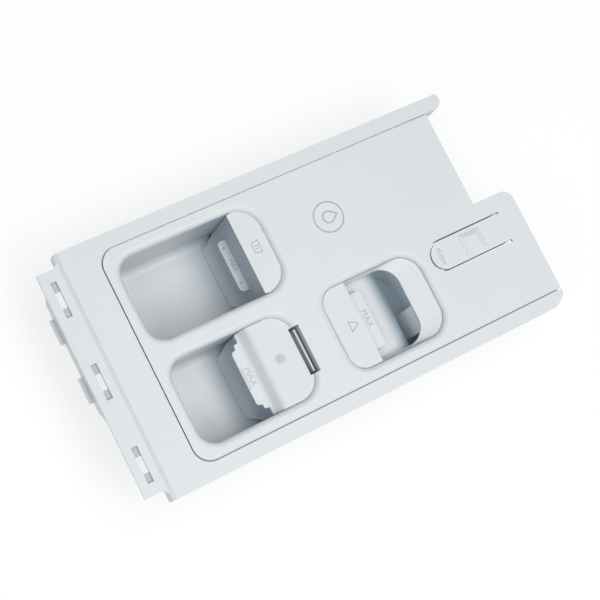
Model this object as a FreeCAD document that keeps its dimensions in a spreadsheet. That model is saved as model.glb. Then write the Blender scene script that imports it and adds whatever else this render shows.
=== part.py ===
import FreeCAD, Part
import Sketcher
import math
import os

# Detergent dispenser drawer of a washing machine.
# The drawing frame has its origin on the front seam of the tray, midway between the side seams, at the level
# of the deck: +Y runs from the user's side to the rear, +X to the user's right and +Z up.
# Each body is then placed so that the part's own origin is under the middle of its box, on the plane that it
# rests on.

doc = FreeCAD.newDocument("dispenser_drawer")
sheet = doc.addObject("Spreadsheet::Sheet", "Sizes")


# Driving dimensions, in millimetres

DIMENSIONS = [
    # tray and carrier
    ("tray_width", 148.0),
    ("rail_width", 10.5),
    ("rail_height", 14.0),
    ("front_bar", 24.5),
    ("deck_thickness", 2.5),
    ("seam_gap", 0.9),
    ("seam_corner", 12.0),
    ("frame_wall", 2.2),
    ("ledge_end", 2.0),
    ("ledge_width", 3.0),
    ("ledge_thickness", 2.0),
    ("left_rail_tail", 14.5),
    ("rail_end_round", 2.5),
    ("left_rail_inner_round", 6.0),
    ("right_rail_end_cut", 9.0),
    ("rib_thickness", 1.6),
    ("rib_height", 6.0),
    ("rail_rib_pitch", 58.0),
    # front flange, its slots and the skirt below it
    ("flange_length", 15.0),
    ("flange_drop", 1.5),
    ("flange_inset", 8.3),
    ("flange_notch_round", 5.5),
    ("step_run", 2.4),
    ("slot_length", 24.0),
    ("slot_width", 4.0),
    ("slot_window", 11.0),
    ("slot_pitch", 56.5),
    ("slot_setback", 7.8),
    ("slot_recess", 1.8),
    ("skirt_left", 62.5),
    ("skirt_right", 24.0),
    ("skirt_height", 9.5),
    ("skirt_slope", 9.0),
    ("lug_width", 17.0),
    ("lug_pitch", 40.5),
    ("lug_reach", 3.0),
    ("lug_height", 2.7),
    # wells
    ("rim_margin", 5.0),
    ("well_web", 6.0),
    ("rim_round", 4.0),
    ("wall", 2.0),
    ("foot_corner_front", 12.0),
    ("foot_corner_rear", 16.0),
    ("floor_round", 6.0),
    ("well_depth", 50.0),
    ("softener_depth", 40.0),
    ("bleach_depth", 10.5),
    ("detergent_length", 107.0),
    ("softener_length", 94.0),
    ("bleach_length", 82.5),
    ("bleach_gap", 18.0),
    ("cap_ledge", 3.5),
    ("cap_clearance", 0.2),
    ("shelf_drop", 3.0),
    ("plate", 2.0),
    ("rest_rib_setback", 1.0),
    ("rest_rib_width", 3.0),
    ("rest_rib_reach", 2.5),
    ("rest_rib_height", 14.0),
    # siphons
    ("post_bore", 3.0),
    ("post_wall", 1.2),
    ("bell_width", 18.0),
    ("bell_depth", 8.8),
    ("bell_wall", 1.2),
    ("bell_back", 3.2),
    ("bell_foot_gap", 3.5),
    ("post_headroom", 6.0),
    # detergent cap
    ("shelf_length", 18.0),
    ("level_depth", 27.0),
    ("level_reach", 6.2),
    ("level_margin", 10.5),
    ("level_corner", 3.0),
    ("gate_foot_gap", 0.4),
    ("gate_side_gap", 0.5),
    ("gate_sweep", 10.0),
    ("gate_edge", 0.3),
    # softener cap and its clip
    ("plateau_length", 27.5),
    ("slope_run", 6.0),
    ("tongue_drop", 7.0),
    ("tongue_length", 8.0),
    ("tongue_width", 38.0),
    ("tongue_flare", 3.6),
    ("tongue_corner", 2.2),
    ("notch_round", 5.0),
    ("sump_length", 23.5),
    ("clip_slot_length", 33.0),
    ("clip_slot_width", 6.6),
    ("clip_thickness", 1.3),
    ("clip_depth", 8.5),
    ("clip_gap", 1.5),
    ("clip_top_drop", 2.5),
    ("catch_web", 1.0),
    ("catch_spare", 2.5),
    # bleach cap
    ("label_length", 20.5),
    ("dish_length", 16.0),
    ("dish_drop", 3.5),
    ("dish_lip", 1.6),
    ("dish_corner", 14.0),
    ("bleach_tongue_length", 9.0),
    ("bleach_tongue_width", 40.0),
    ("bleach_sump_length", 18.5),
    ("bleach_brow_round", 20.0),
    ("bleach_bell_side", 7.0),
    # latch
    ("latch_gap", 4.6),
    ("latch_offset", 16.5),
    ("latch_width", 19.6),
    ("latch_length", 60.6),
    ("latch_rear", 16.0),
    ("slit_width", 1.4),
    ("ridge_height", 1.8),
    ("ridge_setback", 24.0),
    ("ridge_width", 16.0),
    ("ridge_length", 18.0),
    ("ridge_front_run", 3.0),
    ("ridge_rear_run", 5.0),
    ("ridge_side_run", 3.4),
    # rear extension
    ("extension_left", 23.0),
    ("extension_length", 30.0),
    ("extension_corner", 8.0),
    ("deck_rib_pitch", 28.0),
    ("deck_rib_end", 4.0),
    ("latch_spine_gap", 0.1),
    ("latch_rib_height", 10.0),
    ("tongue_rib_end", 1.0),
    # how far a rib or bell starts inside what carries it, and how far a cut starts outside the solid
    ("root_depth", 0.5),
    ("cut_over", 1.0),
]

for row, (name, number) in enumerate(DIMENSIONS, start=1):
    sheet.set("A%d" % row, name)
    sheet.set("B%d" % row, str(number))
    sheet.setAlias("B%d" % row, name)
doc.recompute()


class Size:
    """A length: its value in millimetres, and the sheet expression that gives it."""

    def __init__(self, value, text):
        self.value = value
        self.text = text

    def __add__(self, other):
        other = as_size(other)
        return Size(self.value + other.value, "(%s + %s)" % (self.text, other.text))

    def __sub__(self, other):
        other = as_size(other)
        return Size(self.value - other.value, "(%s - %s)" % (self.text, other.text))

    def __mul__(self, factor):
        return Size(self.value * factor, "(%s * %s)" % (self.text, factor))

    def __truediv__(self, factor):
        return Size(self.value / factor, "(%s / %s)" % (self.text, factor))

    def __neg__(self):
        return Size(-self.value, "(0 - %s)" % self.text)


def as_size(number):
    """Lets plain numbers, such as 0, stand beside sizes."""
    if isinstance(number, Size):
        return number
    return Size(float(number), str(number))


class Sheet:
    """The sheet's cells as sizes, read by their names."""

    def __getattr__(self, name):
        return Size(float(sheet.get(name)), "Sizes." + name)


dim = Sheet()
ZERO = as_size(0)


# Document helpers

def drive(obj, prop, size):
    """Binds a property to the sheet."""
    obj.setExpression(prop, as_size(size).text)


def new_body(label):
    """A body of the drawing frame, placed in the part's own frame."""
    body = doc.addObject("PartDesign::Body", label)
    body.Label = label
    drive(body, "Placement.Base.y", -middle_y)
    drive(body, "Placement.Base.z", deck_height)
    return body


def new_sketch(body, name, plane, offset):
    """A sketch on one of the body's origin planes, moved along its normal."""
    sketch = body.newObject("Sketcher::SketchObject", name)
    support = [o for o in body.Origin.OriginFeatures if o.Role == plane][0]
    sketch.AttachmentSupport = [(support, "")]
    sketch.MapMode = "FlatFace"
    drive(sketch, "AttachmentOffset.Base.z", offset)
    return sketch


def place_point(sketch, index, end, x, y):
    """Fixes a point of the sketch by two sizes."""
    for kind, size in (("DistanceX", as_size(x)), ("DistanceY", as_size(y))):
        number = sketch.addConstraint(Sketcher.Constraint(kind, -1, 1, index, end, size.value))
        sketch.setExpression("Constraints[%d]" % number, size.text)


def outline(sketch, corners):
    """Adds a closed outline, drawn anticlockwise, of corners (x, y) or (x, y, radius)."""
    points = [FreeCAD.Vector(as_size(c[0]).value, as_size(c[1]).value, 0) for c in corners]
    rounds = [as_size(c[2]) if len(c) > 2 else None for c in corners]
    count = len(corners)
    starts = []
    ends = []
    arcs = []
    for i in range(count):
        before = (points[i - 1] - points[i]).normalize()
        after = (points[(i + 1) % count] - points[i]).normalize()
        if rounds[i] is None:
            starts.append(points[i])
            ends.append(points[i])
            arcs.append(None)
            continue
        radius = rounds[i].value
        half_angle = before.getAngle(after) / 2
        run = radius / math.tan(half_angle)
        first = points[i] + before * run
        last = points[i] + after * run
        centre = points[i] + (before + after).normalize() * (radius / math.sin(half_angle))
        turns_left = before.cross(after).z < 0
        begin, finish = (first, last) if turns_left else (last, first)
        angle_0 = math.atan2(begin.y - centre.y, begin.x - centre.x)
        angle_1 = math.atan2(finish.y - centre.y, finish.x - centre.x)
        circle = Part.Circle(centre, FreeCAD.Vector(0, 0, 1), radius)
        arcs.append((Part.ArcOfCircle(circle, angle_0, angle_1), turns_left))
        ends.append(first)
        starts.append(last)
    marks = []
    for i in range(count):
        mark = sketch.addGeometry(Part.Point(points[i]), True)
        place_point(sketch, mark, 1, corners[i][0], corners[i][1])
        marks.append(mark)
    lines = []
    for i in range(count):
        segment = Part.LineSegment(starts[i], ends[(i + 1) % count])
        lines.append(sketch.addGeometry(segment, False))
    for i in range(count):
        line_in = lines[i - 1]
        line_out = lines[i]
        if arcs[i] is None:
            sketch.addConstraint(Sketcher.Constraint("Coincident", line_in, 2, marks[i], 1))
            sketch.addConstraint(Sketcher.Constraint("Coincident", line_out, 1, marks[i], 1))
            continue
        arc, turns_left = arcs[i]
        arc_index = sketch.addGeometry(arc, False)
        arc_in, arc_out = (1, 2) if turns_left else (2, 1)
        sketch.addConstraint(Sketcher.Constraint("PointOnObject", marks[i], 1, line_in))
        sketch.addConstraint(Sketcher.Constraint("PointOnObject", marks[i], 1, line_out))
        sketch.addConstraint(Sketcher.Constraint("Tangent", line_in, 2, arc_index, arc_in))
        sketch.addConstraint(Sketcher.Constraint("Tangent", line_out, 1, arc_index, arc_out))
        number = sketch.addConstraint(Sketcher.Constraint("Radius", arc_index, rounds[i].value))
        sketch.setExpression("Constraints[%d]" % number, rounds[i].text)


def rectangle(sketch, x0, x1, y0, y1, front_round=None, rear_round=None):
    """Adds a rectangle whose front and rear corners may be rounded."""
    corners = [(x0, y0, front_round), (x1, y0, front_round), (x1, y1, rear_round), (x0, y1, rear_round)]
    outline(sketch, [c if c[2] is not None else c[:2] for c in corners])


def circle(sketch, x, y, radius):
    """Adds a circle."""
    centre = FreeCAD.Vector(as_size(x).value, as_size(y).value, 0)
    index = sketch.addGeometry(Part.Circle(centre, FreeCAD.Vector(0, 0, 1), as_size(radius).value), False)
    place_point(sketch, index, 3, x, y)
    number = sketch.addConstraint(Sketcher.Constraint("Radius", index, as_size(radius).value))
    sketch.setExpression("Constraints[%d]" % number, as_size(radius).text)


def extrude(body, kind, sketch, length, against_normal):
    """A pad or a pocket of a sketch. The sketch's normal gives the direction of a pad."""
    feature = body.newObject("PartDesign::" + kind, sketch.Name + "_" + kind.lower())
    feature.Profile = sketch
    feature.Type = "Length"
    feature.Reversed = against_normal
    drive(feature, "Length", length)
    doc.recompute()
    return feature


def pad_down(body, sketch, length):
    return extrude(body, "Pad", sketch, length, True)


def pad_up(body, sketch, length):
    return extrude(body, "Pad", sketch, length, False)


def pocket_down(body, sketch, length):
    return extrude(body, "Pocket", sketch, length, False)


def pocket_up(body, sketch, length):
    return extrude(body, "Pocket", sketch, length, True)


def plan(body, name, level):
    """A sketch seen from above, at a level."""
    return new_sketch(body, name, "XY_Plane", level)


def side(body, name, x):
    """A sketch of Y and Z, at a place across the drawer."""
    return new_sketch(body, name, "YZ_Plane", x)


def repeat(body, feature, axis, pitch, count):
    """Copies a feature along one of the body's axes."""
    pattern = body.newObject("PartDesign::LinearPattern", feature.Name + "_row")
    line = [o for o in body.Origin.OriginFeatures if o.Role == axis][0]
    pattern.Originals = [feature]
    pattern.Direction = (line, [""])
    pattern.Mode = "Spacing"
    drive(pattern, "Offset", pitch)
    pattern.Occurrences = count
    body.Tip = pattern
    doc.recompute()
    return pattern


def round_edges(body, name, radius, wanted):
    """Rounds the edges of the body that pass a test."""
    base = body.Tip
    names = ["Edge%d" % (i + 1) for i, edge in enumerate(base.Shape.Edges) if wanted(edge.BoundBox)]
    feature = body.newObject("PartDesign::Fillet", name)
    feature.Base = (base, names)
    drive(feature, "Radius", radius)
    doc.recompute()
    return feature


NEAR = 0.01


def flat_at(level, box, x0, x1, y0, y1):
    """True for an edge at a level, within a rectangle."""
    in_level = abs(box.ZMin - level.value) < NEAR and abs(box.ZMax - level.value) < NEAR
    in_x = box.XMin > x0.value - NEAR and box.XMax < x1.value + NEAR
    in_y = box.YMin > y0.value - NEAR and box.YMax < y1.value + NEAR
    return in_level and in_x and in_y


# Derived sizes

half_seam = dim.seam_gap / 2
tray_half = dim.tray_width / 2 - half_seam
frame_inner = dim.tray_width / 2 + half_seam
frame_half = dim.tray_width / 2 + dim.rail_width
deck_height = dim.well_depth + dim.wall

bleach_start = dim.rim_margin + dim.softener_length + dim.bleach_gap - half_seam
bleach_end = bleach_start + dim.bleach_length
latch_tip = bleach_end + dim.latch_gap + dim.slit_width
latch_root = latch_tip + dim.latch_length
tray_rear = latch_root + dim.latch_rear
tray_rear_left = tray_rear - dim.extension_length
left_rail_end = tray_rear_left + dim.left_rail_tail

bar_front = -dim.front_bar
flange_front = bar_front - dim.flange_length
front_end = flange_front - dim.lug_reach
middle_y = (tray_rear + front_end) / 2

flange_top = -dim.flange_drop
flange_bottom = flange_top - dim.deck_thickness
shelf_top = -dim.shelf_drop
shelf_bottom = shelf_top - dim.plate
bell_foot = dim.bell_foot_gap - dim.well_depth


class Well:
    """The rim, foot and tub of one well. The foot is the inner line of its rounded rim."""

    def __init__(self, right_side, rim_front, length, rear_ledge):
        near = dim.well_web / 2
        far = dim.tray_width / 2 - dim.rim_margin
        self.rim_left = near if right_side else -far
        self.rim_right = far if right_side else -near
        self.left = self.rim_left + dim.rim_round
        self.right = self.rim_right - dim.rim_round
        self.centre = (self.left + self.right) / 2
        self.front = rim_front + dim.rim_round
        self.rim_rear = rim_front + length
        self.rear = self.rim_rear - dim.rim_round
        self.tub_rear = self.rear - rear_ledge


rim_front = dim.rim_margin - half_seam
softener_ledge = dim.clip_slot_width - dim.rim_round + dim.clip_thickness + dim.wall + dim.catch_web
detergent = Well(False, rim_front, dim.detergent_length, dim.cap_ledge)
softener = Well(True, rim_front, dim.softener_length, softener_ledge)
bleach = Well(True, bleach_start, dim.bleach_length, dim.cap_ledge)
bleach_recess = dim.shelf_drop + dim.dish_drop + dim.plate
bleach_tub_front = bleach.front + dim.cap_ledge
latch_x = softener.centre - dim.latch_offset
slot_rear = softener.rim_rear
slot_front = slot_rear - dim.clip_slot_width
catch_front = softener.tub_rear + dim.wall
catch_depth = dim.shelf_drop + dim.plate + dim.clip_depth + dim.catch_spare


# Carrier: front bar, two rails, stepped flange, skirt with lugs, and the ledge of the tray

def carrier_outline(sketch):
    """The U of the carrier in plan."""
    cut = dim.right_rail_end_cut
    outline(sketch, [
        (-frame_half, bar_front),
        (frame_half, bar_front),
        (frame_half, tray_rear - cut, dim.rail_end_round),
        (frame_half - cut * 0.7, tray_rear, dim.rail_end_round),
        (frame_inner, tray_rear),
        (frame_inner, -half_seam, dim.seam_corner),
        (-frame_inner, -half_seam, dim.seam_corner),
        (-frame_inner, left_rail_end, dim.left_rail_inner_round),
        (-frame_half, left_rail_end, dim.rail_end_round),
    ])


def channel_outline(sketch):
    """The hollow under the carrier in plan, one wall inside its outline and square at the rail ends."""
    w = dim.frame_wall
    outer = frame_half - w
    inner = frame_inner + w
    right_end = tray_rear - dim.right_rail_end_cut - w
    left_end = left_rail_end - dim.left_rail_inner_round - w
    outline(sketch, [
        (-outer, bar_front + w),
        (outer, bar_front + w),
        (outer, right_end),
        (inner, right_end),
        (inner, -half_seam - w, dim.seam_corner + w),
        (-inner, -half_seam - w, dim.seam_corner + w),
        (-inner, left_end),
        (-outer, left_end),
    ])


def build_frame():
    body = new_body("drawer_frame")
    u_plan = plan(body, "carrier_plan", ZERO)
    carrier_outline(u_plan)
    pad_down(body, u_plan, dim.rail_height)

    channel = plan(body, "channel_plan", -dim.rail_height)
    channel_outline(channel)
    pocket_up(body, channel, dim.rail_height - dim.deck_thickness)

    # ledge under the edge of the tray
    ledge = plan(body, "ledge_plan", -dim.deck_thickness)
    lip = frame_inner - half_seam * 2 - dim.ledge_width
    root = frame_inner + dim.frame_wall / 2
    right_end = tray_rear - dim.ledge_end
    outline(ledge, [
        (-root, -half_seam - dim.frame_wall / 2),
        (root, -half_seam - dim.frame_wall / 2),
        (root, right_end),
        (lip, right_end),
        (lip, half_seam + dim.ledge_width, dim.seam_corner - dim.ledge_width),
        (-lip, half_seam + dim.ledge_width, dim.seam_corner - dim.ledge_width),
        (-lip, tray_rear_left),
        (-root, tray_rear_left),
    ])
    pad_down(body, ledge, dim.ledge_thickness)

    # flange of the front panel, one step below the deck; its root is inside the front wall of the bar
    flange = plan(body, "flange_plan", flange_top)
    reach = frame_half - dim.flange_inset
    root_half = frame_half - dim.frame_wall / 2
    notch = bar_front + dim.frame_wall / 4
    inside = bar_front + dim.frame_wall / 2
    outline(flange, [
        (-reach, flange_front),
        (reach, flange_front),
        (reach, notch, dim.flange_notch_round),
        (root_half, notch),
        (root_half, inside),
        (-root_half, inside),
        (-root_half, notch),
        (-reach, notch, dim.flange_notch_round),
    ])
    pad_down(body, flange, dim.deck_thickness)

    slot_y = flange_front + dim.slot_setback
    slots = plan(body, "slot_plan", flange_top)
    windows = plan(body, "slot_window_plan", flange_top)
    for place in (-1, 0, 1):
        x = dim.slot_pitch * place
        half_width = dim.slot_width / 2
        half_length = dim.slot_length / 2
        half_window = dim.slot_window / 2
        rectangle(slots, x - half_length, x + half_length, slot_y - half_width, slot_y + half_width)
        rectangle(windows, x - half_window, x + half_window, slot_y - half_width, slot_y + half_width)
    pocket_down(body, slots, dim.slot_recess)
    pocket_down(body, windows, dim.deck_thickness)

    # skirt under the flange, with two lugs at its foot
    skirt = new_sketch(body, "skirt_face", "XZ_Plane", -flange_front)
    foot = flange_bottom - dim.skirt_height
    outline(skirt, [
        (-dim.skirt_left, flange_bottom + dim.root_depth),
        (dim.skirt_slope / 3 - dim.skirt_left, foot, dim.rail_end_round),
        (dim.skirt_right - dim.skirt_slope, foot, dim.rail_end_round),
        (dim.skirt_right, flange_bottom + dim.root_depth),
    ])
    pad_down(body, skirt, dim.frame_wall)
    lug = side(body, "lug_profile", -dim.lug_pitch - dim.lug_width / 2)
    outline(lug, [
        (flange_front + dim.root_depth, foot),
        (flange_front + dim.root_depth, foot + dim.lug_height),
        (flange_front - dim.lug_reach, foot + dim.lug_height),
        (flange_front - dim.lug_reach, foot + dim.lug_height / 2),
    ][::-1])
    lug_pad = pad_up(body, lug, dim.lug_width)
    repeat(body, lug_pad, "X_Axis", dim.lug_pitch, 2)

    # cross ribs inside the channel of the rails
    ribs = plan(body, "rail_rib_plan", dim.root_depth - dim.deck_thickness)
    start = dim.rail_rib_pitch / 2
    near = frame_inner + dim.frame_wall / 2
    far = frame_half - dim.frame_wall / 2
    for x0, x1 in ((-far, -near), (near, far)):
        rectangle(ribs, x0, x1, start, start + dim.rib_thickness)
    rib_pad = pad_down(body, ribs, dim.rib_height)
    count = int((left_rail_end.value - start.value) // dim.rail_rib_pitch.value) + 1
    repeat(body, rib_pad, "Y_Axis", dim.rail_rib_pitch, count)

    # ribs of the front bar
    bar_ribs = plan(body, "bar_rib_plan", dim.root_depth - dim.deck_thickness)
    first = frame_half * -0.75
    rectangle(bar_ribs, first, first + dim.rib_thickness, inside, -half_seam - dim.frame_wall / 2)
    bar_pad = pad_down(body, bar_ribs, dim.rib_height)
    repeat(body, bar_pad, "X_Axis", frame_half / 2, 4)

    # sloped step between the deck and the flange
    over = dim.cut_over
    step = side(body, "step_profile", -frame_half - over)
    outline(step, [
        (bar_front - over, flange_top),
        (bar_front, flange_top),
        (bar_front + dim.step_run, ZERO),
        (bar_front + dim.step_run, over),
        (bar_front - over, over),
    ])
    pocket_up(body, step, frame_half * 2 + over * 2)
    return body


# Tray: deck, wells with rounded rims, sumps, siphon posts, ribs and the opening of the latch

def add_well_outside(body, name, well, depth, collar):
    """The outer walls of a well under the deck."""
    w = dim.wall
    front_round = dim.foot_corner_front + w
    rear_round = dim.foot_corner_rear + w
    upper = plan(body, name + "_collar", ZERO)
    rectangle(upper, well.left - w, well.right + w, well.front - w, well.rear + w, front_round, rear_round)
    pad_down(body, upper, collar + w)
    tub = plan(body, name + "_tub", ZERO)
    rectangle(tub, well.left - w, well.right + w, well.front - w, well.tub_rear + w, front_round, rear_round)
    pad_down(body, tub, depth + w)


def add_sump_outside(body, name, well, front):
    """The outer walls of the deeper end of a well."""
    w = dim.wall
    sump = plan(body, name + "_sump", ZERO)
    rear_round = dim.foot_corner_rear + w
    rectangle(sump, well.left - w, well.right + w, front - w, well.tub_rear + w, None, rear_round)
    pad_down(body, sump, dim.well_depth + w)


def cut_well(body, name, well, tub_front, depth, recess):
    """The hollow of a well: the recess of its cap, then the tub."""
    front_round = dim.foot_corner_front
    rear_round = dim.foot_corner_rear
    top = plan(body, name + "_recess", ZERO)
    rectangle(top, well.left, well.right, well.front, well.rear, front_round, rear_round)
    pocket_down(body, top, recess)
    tub = plan(body, name + "_hollow", ZERO)
    rectangle(tub, well.left, well.right, tub_front, well.tub_rear, front_round, rear_round)
    pocket_down(body, tub, depth)


def round_floor(body, name, well, depth):
    """The rounded edge between the floor and the walls of a well."""
    level = -depth
    round_edges(body, name + "_floor_round", dim.floor_round, lambda box: flat_at(
        level, box, well.left, well.right, well.front, well.tub_rear))


def cut_sump(body, name, well, front):
    """The hollow of the deeper end of a well."""
    sump = plan(body, name + "_sump_hollow", ZERO)
    rectangle(sump, well.left, well.right, front, well.tub_rear, None, dim.foot_corner_rear)
    pocket_down(body, sump, dim.well_depth)


def add_post(body, name, x, y, top):
    """A siphon post: a tube from the floor of the well, open below."""
    tube = plan(body, name + "_post", -dim.well_depth - dim.wall / 2)
    circle(tube, x, y, dim.post_bore / 2 + dim.post_wall)
    pad_up(body, tube, dim.well_depth + dim.wall / 2 + top)
    hole = plan(body, name + "_bore", top)
    circle(hole, x, y, dim.post_bore / 2)
    pocket_down(body, hole, dim.well_depth + dim.wall + top)


def add_rest_ribs(body, name, well, front, top):
    """Two upright ribs on the side walls, which carry the front of a cap."""
    ribs = plan(body, name + "_rest_ribs", top)
    reach = dim.rest_rib_reach
    buried = dim.wall / 2
    for x0, x1 in ((well.left - buried, well.left + reach), (well.right - reach, well.right + buried)):
        rectangle(ribs, x0, x1, front, front + dim.rest_rib_width)
    pad_down(body, ribs, dim.rest_rib_height)


def build_tray():
    body = new_body("inner_tray")
    deck = plan(body, "deck_plan", ZERO)
    step_x = latch_x - dim.extension_left
    outline(deck, [
        (-tray_half, half_seam, dim.seam_corner - half_seam),
        (tray_half, half_seam, dim.seam_corner - half_seam),
        (tray_half, tray_rear),
        (step_x, tray_rear, dim.extension_corner),
        (step_x, tray_rear_left),
        (-tray_half, tray_rear_left),
    ])
    pad_down(body, deck, dim.deck_thickness)

    recess = dim.shelf_drop + dim.plate
    shelf_front = detergent.rear - dim.shelf_length
    sump_front = softener.tub_rear - dim.sump_length
    bleach_sump_front = bleach.tub_rear - dim.bleach_sump_length
    add_well_outside(body, "detergent", detergent, dim.well_depth, recess)
    add_well_outside(body, "softener", softener, dim.softener_depth, recess)
    add_well_outside(body, "bleach", bleach, dim.bleach_depth, bleach_recess)
    add_sump_outside(body, "softener", softener, sump_front)
    add_sump_outside(body, "bleach", bleach, bleach_sump_front)

    # closed pocket of the softener cap's clip
    catch = plan(body, "catch_outside", ZERO)
    half_catch = dim.clip_slot_length / 2
    catch_wall = dim.post_wall
    rectangle(catch, softener.centre - half_catch - catch_wall, softener.centre + half_catch + catch_wall,
              catch_front - dim.root_depth, slot_rear + catch_wall)
    pad_down(body, catch, catch_depth + catch_wall)

    # ribs under the plain part of the deck
    ribs = plan(body, "deck_rib_plan", dim.root_depth - dim.deck_thickness)
    rib_start = detergent.rear + dim.deck_rib_pitch / 2
    rib_left = -tray_half + dim.ledge_width * 2
    rectangle(ribs, rib_left, step_x - dim.wall, rib_start, rib_start + dim.rib_thickness)
    rib_pad = pad_down(body, ribs, dim.rib_height)
    rib_room = tray_rear_left - dim.deck_rib_end - rib_start
    count = int(rib_room.value // dim.deck_rib_pitch.value) + 1
    repeat(body, rib_pad, "Y_Axis", dim.deck_rib_pitch, count)
    spine = plan(body, "latch_spine_plan", dim.root_depth - dim.deck_thickness)
    spine_gap = dim.latch_width / 2 + dim.slit_width + dim.latch_spine_gap
    for x0 in (latch_x - spine_gap - dim.rib_thickness, latch_x + spine_gap):
        rectangle(spine, x0, x0 + dim.rib_thickness, latch_tip, tray_rear - dim.wall)
    pad_down(body, spine, dim.latch_rib_height)

    cut_well(body, "detergent", detergent, detergent.front, dim.well_depth, recess)
    round_floor(body, "detergent", detergent, dim.well_depth)
    cut_well(body, "softener", softener, softener.front, dim.softener_depth, recess)
    round_floor(body, "softener", softener, dim.softener_depth)
    cut_well(body, "bleach", bleach, bleach_tub_front, dim.bleach_depth, bleach_recess)
    cut_sump(body, "detergent", detergent, detergent.tub_rear - dim.foot_corner_rear - dim.root_depth)
    cut_sump(body, "softener", softener, sump_front)
    cut_sump(body, "bleach", bleach, bleach_sump_front)
    brow = -dim.bleach_depth
    round_edges(body, "bleach_brow", dim.bleach_brow_round, lambda box: flat_at(
        brow, box, bleach.left, bleach.right, bleach_sump_front, bleach_sump_front))

    # rounded rims
    for name, well in (("detergent", detergent), ("softener", softener), ("bleach", bleach)):
        round_edges(body, name + "_rim", dim.rim_round, lambda box: flat_at(
            ZERO, box, well.left, well.right, well.front, well.rear))

    # slot behind the softener's label plateau, over the pocket of the clip
    clip_slot = plan(body, "clip_slot_plan", ZERO)
    rectangle(clip_slot, softener.centre - half_catch, softener.centre + half_catch, catch_front, slot_rear)
    pocket_down(body, clip_slot, catch_depth)

    behind_gate = dim.plate + dim.rest_rib_setback
    add_rest_ribs(body, "detergent", detergent, shelf_front + behind_gate, shelf_bottom)
    add_rest_ribs(body, "softener", softener, plateau_front + behind_gate, shelf_bottom)
    add_post(body, "detergent", detergent.centre, bell_y(detergent), detergent_post_top)
    add_post(body, "softener", softener.centre, bell_y(softener), softener_post_top)
    add_post(body, "bleach", bleach_bell_x, bell_y(bleach), bleach_post_top)

    # opening of the latch
    opening = plan(body, "latch_opening_plan", ZERO)
    latch_outline(opening, dim.slit_width)
    pocket_down(body, opening, dim.deck_thickness + dim.latch_rib_height)
    return body


# Latch: a tongue with a stop ridge, which bends down at its root

def latch_outline(sketch, gap):
    """The tongue in plan, widened by a gap except at its root."""
    half = dim.latch_width / 2 + gap
    tip = latch_tip - gap
    tip_round = dim.latch_width * 0.49 + gap
    outline(sketch, [
        (latch_x - half, tip, tip_round),
        (latch_x + half, tip, tip_round),
        (latch_x + half, latch_root),
        (latch_x - half, latch_root),
    ])


def build_latch():
    body = new_body("push_latch")
    tongue = plan(body, "tongue_plan", ZERO)
    latch_outline(tongue, ZERO)
    pad_down(body, tongue, dim.deck_thickness)
    # ridge with a slope on each side
    front = latch_tip + dim.ridge_setback
    rear = front + dim.ridge_length
    half_ridge = dim.ridge_width / 2
    ridge = side(body, "ridge_profile", latch_x - half_ridge)
    outline(ridge, [
        (front, -dim.root_depth),
        (rear, -dim.root_depth),
        (rear, ZERO),
        (rear - dim.ridge_rear_run, dim.ridge_height),
        (front + dim.ridge_front_run, dim.ridge_height),
        (front, ZERO),
    ])
    pad_up(body, ridge, dim.ridge_width)
    slopes = new_sketch(body, "ridge_side_slopes", "XZ_Plane", -rear)
    for way in (-1, 1):
        corners = [
            (latch_x + half_ridge * way, ZERO),
            (latch_x + half_ridge * way, dim.ridge_height),
            (latch_x + (half_ridge - dim.ridge_side_run) * way, dim.ridge_height),
        ]
        outline(slopes, corners[::way])
    pocket_up(body, slopes, dim.ridge_length)
    # stiffening ribs below
    ribs = plan(body, "tongue_rib_plan", dim.root_depth - dim.deck_thickness)
    edge = dim.latch_width / 2
    for x in (latch_x - edge, latch_x + edge - dim.rib_thickness):
        rectangle(ribs, x, x + dim.rib_thickness, latch_tip + edge, latch_root - dim.tongue_rib_end)
    pad_down(body, ribs, dim.latch_rib_height)
    return body


# Caps of the wells

detergent_post_top = -dim.level_depth
plateau_rear = slot_front
plateau_front = softener.rear - dim.plateau_length
softener_post_top = shelf_bottom - dim.post_headroom
bleach_bell_x = bleach.right - dim.bleach_bell_side - dim.bell_width / 2
dish_bottom = shelf_top - dim.dish_drop - dim.plate
bleach_post_top = dish_bottom - dim.post_headroom


def bell_y(well):
    """The middle of the siphon bell at the rear of a well."""
    return well.tub_rear - dim.bell_back - dim.bell_depth / 2


def cap_plate(body, name, well, front, front_round, level, thickness):
    """A plate that drops into the recess of a well."""
    c = dim.cap_clearance
    sketch = plan(body, name, level)
    rear_round = dim.foot_corner_rear - c
    rectangle(sketch, well.left + c, well.right - c, front, well.rear - c, front_round, rear_round)
    return pad_down(body, sketch, thickness)


def add_bell(body, x, y, top):
    """The bell over a siphon post: four walls, open below."""
    ring = plan(body, "bell_plan", top)
    half_x = dim.bell_width / 2
    half_y = dim.bell_depth / 2
    for inset in (ZERO, dim.bell_wall):
        rectangle(ring, x - half_x + inset, x + half_x - inset, y - half_y + inset, y + half_y - inset)
    pad_down(body, ring, top - bell_foot)


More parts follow.
